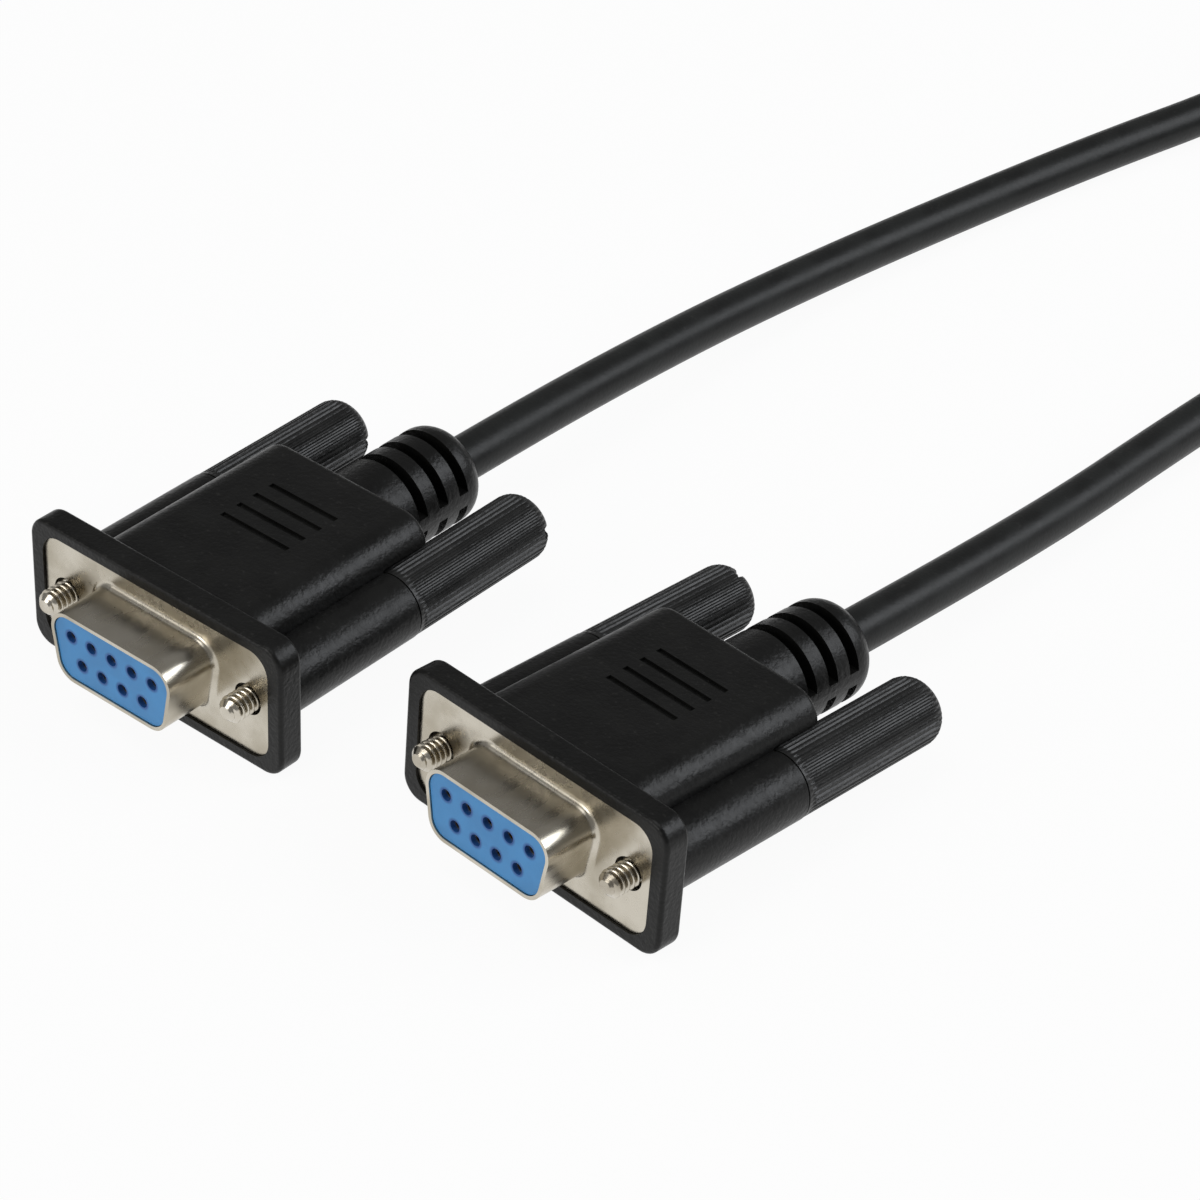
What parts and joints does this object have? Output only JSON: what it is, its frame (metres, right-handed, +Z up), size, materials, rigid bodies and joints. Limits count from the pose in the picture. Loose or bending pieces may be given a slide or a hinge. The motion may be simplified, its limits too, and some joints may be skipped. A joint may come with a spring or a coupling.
{
  "type": "serial cable",
  "caption": "Black serial cable with a moulded nine-way socket head and two thumbscrews at each end, its spare cord wound in a neat coil.",
  "frame": {"origin": "middle of the underside of head A's flange, on the surface that the cable lies on", "axes": "+Z up; -Y the way head A's socket faces; +Y from head A towards its cord; +X to the right as seen facing head A's socket, towards head B"},
  "size_m": [0.1107, 0.2484, 0.0154],
  "materials": {
    "hood_plastic": "soft moulded satin",
    "knob_plastic": "soft moulded satin, fine straight ribs",
    "nickel_shell": "nickel plated, satin",
    "blue_insulator": "satin",
    "dark_insulator": "satin",
    "contact_brass": "gilt, plain",
    "wire_sleeve": "plain",
    "inner_plastic": "plain moulded",
    "crimp_metal": "plain",
    "screw_steel": "nickel plated thread",
    "clip_steel": "spring steel",
    "cord_jacket": "soft jacket, satin"
  },
  "bodies": {
    "cable": {"contact_a_1": "contact_brass", "contact_a_2": "contact_brass", "contact_a_3": "contact_brass", "contact_a_4": "contact_brass", "contact_a_5": "contact_brass", "contact_a_6": "contact_brass", "contact_a_7": "contact_brass", "contact_a_8": "contact_brass", "contact_a_9": "contact_brass", "contact_b_1": "contact_brass", "contact_b_2": "contact_brass", "contact_b_3": "contact_brass", "contact_b_4": "contact_brass", "contact_b_5": "contact_brass", "contact_b_6": "contact_brass", "contact_b_7": "contact_brass", "contact_b_8": "contact_brass", "contact_b_9": "contact_brass", "cord_a": "cord_jacket", "cord_b": "cord_jacket", "cord_coil": "cord_jacket", "crimp_ring_a": "crimp_metal", "crimp_ring_b": "crimp_metal", "front_insulator_a": "blue_insulator", "front_insulator_b": "blue_insulator", "front_shell_a": "nickel_shell", "front_shell_b": "nickel_shell", "hood_a": "hood_plastic", "hood_b": "hood_plastic", "inner_mould_a": "inner_plastic", "inner_mould_b": "inner_plastic", "rear_insulator_a": "dark_insulator", "rear_insulator_b": "dark_insulator", "rear_shell_a": "nickel_shell", "rear_shell_b": "nickel_shell", "wires_a": "wire_sleeve", "wires_b": "wire_sleeve"},
    "clip_a_left": {"screw_clip_a_left": "clip_steel"},
    "thumbscrew_a_left": {"jackscrew_a_left": "screw_steel", "thumb_knob_a_left": "knob_plastic"},
    "clip_a_right": {"screw_clip_a_right": "clip_steel"},
    "thumbscrew_a_right": {"jackscrew_a_right": "screw_steel", "thumb_knob_a_right": "knob_plastic"},
    "clip_b_left": {"screw_clip_b_left": "clip_steel"},
    "thumbscrew_b_left": {"jackscrew_b_left": "screw_steel", "thumb_knob_b_left": "knob_plastic"},
    "clip_b_right": {"screw_clip_b_right": "clip_steel"},
    "thumbscrew_b_right": {"jackscrew_b_right": "screw_steel", "thumb_knob_b_right": "knob_plastic"}
  },
  "joints": [
    {"name": "screw_pull_a_left", "type": "slide", "parent": "cable", "child": "clip_a_left", "axis": [0, 1, 0], "range_m": [0, 0.004]},
    {"name": "screw_turn_a_left", "type": "hinge", "parent": "clip_a_left", "child": "thumbscrew_a_left", "pos_m": [-0.01249, 0.0081, 0.00765], "axis": [0, -1, 0], "continuous": true},
    {"name": "screw_pull_a_right", "type": "slide", "parent": "cable", "child": "clip_a_right", "axis": [0, 1, 0], "range_m": [0, 0.004]},
    {"name": "screw_turn_a_right", "type": "hinge", "parent": "clip_a_right", "child": "thumbscrew_a_right", "pos_m": [0.01249, 0.0081, 0.00765], "axis": [0, -1, 0], "continuous": true},
    {"name": "screw_pull_b_left", "type": "slide", "parent": "cable", "child": "clip_b_left", "axis": [0.0772, 0.996, -0.0454], "range_m": [0, 0.004]},
    {"name": "screw_turn_b_left", "type": "hinge", "parent": "clip_b_left", "child": "thumbscrew_b_left", "pos_m": [0.032, 0.015, 0.00732], "axis": [-0.0772, -0.996, 0.0454], "continuous": true},
    {"name": "screw_pull_b_right", "type": "slide", "parent": "cable", "child": "clip_b_right", "axis": [0.0772, 0.996, -0.0454], "range_m": [0, 0.004]},
    {"name": "screw_turn_b_right", "type": "hinge", "parent": "clip_b_right", "child": "thumbscrew_b_right", "pos_m": [0.05692, 0.01307, 0.00732], "axis": [-0.0772, -0.996, 0.0454], "continuous": true}
  ]
}
